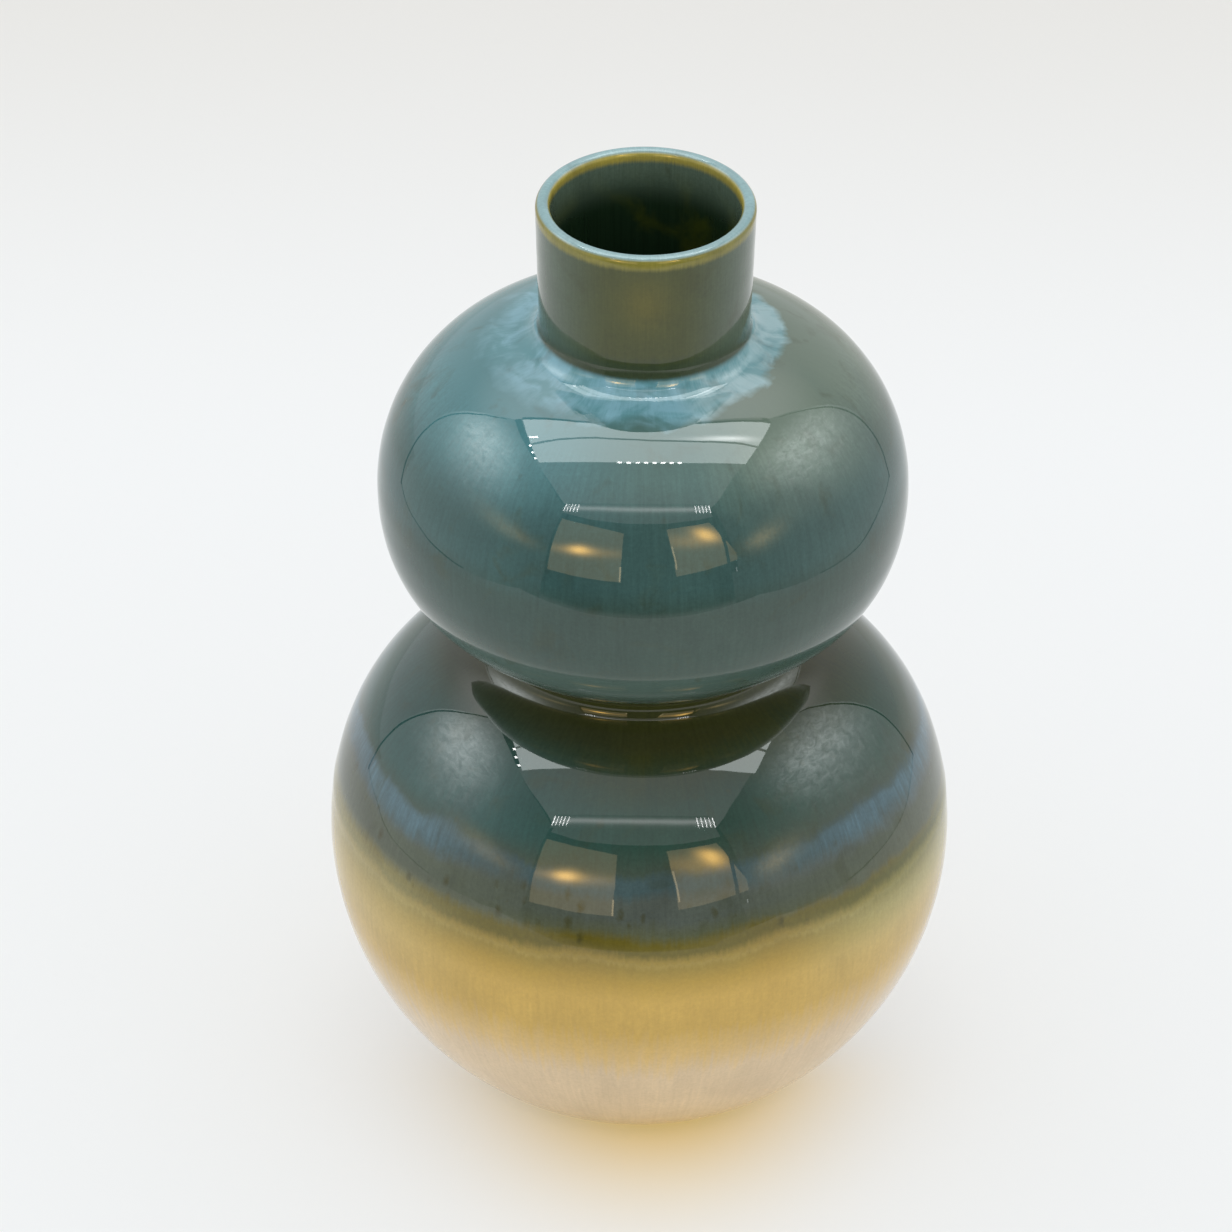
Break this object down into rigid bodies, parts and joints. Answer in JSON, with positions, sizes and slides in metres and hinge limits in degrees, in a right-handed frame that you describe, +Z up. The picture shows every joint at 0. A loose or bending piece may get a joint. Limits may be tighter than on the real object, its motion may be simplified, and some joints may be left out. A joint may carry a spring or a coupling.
{
  "type": "vase",
  "caption": "Double-gourd stoneware vase: wide lower belly, narrow waist, smaller upper belly and short straight neck, hollow throughout, to hold water and flower stems.",
  "frame": {"origin": "centre of the foot, in the plane that the vase stands on", "axes": "+Z up along the vase's axis; X and Y level, with -Y towards the picture's viewer"},
  "size_m": [0.1872, 0.1872, 0.3],
  "materials": {
    "clay": "bare fired stoneware, matt",
    "slip": "fired slip, matt",
    "teal_glaze": "glossy mottled teal glaze",
    "ochre_glaze": "glossy ochre glaze",
    "cream_glaze": "glossy cream glaze",
    "inner_glaze": "glossy dark green glaze"
  },
  "bodies": {
    "root": {"foot_ring": "clay", "lower_bowl": "clay", "lower_shoulder": "clay", "upper_bowl": "clay", "upper_shoulder": "clay", "neck_collar": "clay", "foot_slip": "slip", "lower_belly_slip": "slip", "waist_slip": "slip", "upper_belly_slip": "slip", "neck_slip": "slip", "teal_glaze": "teal_glaze", "ochre_glaze": "ochre_glaze", "cream_glaze": "cream_glaze", "inner_glaze": "inner_glaze"}
  },
  "joints": []
}
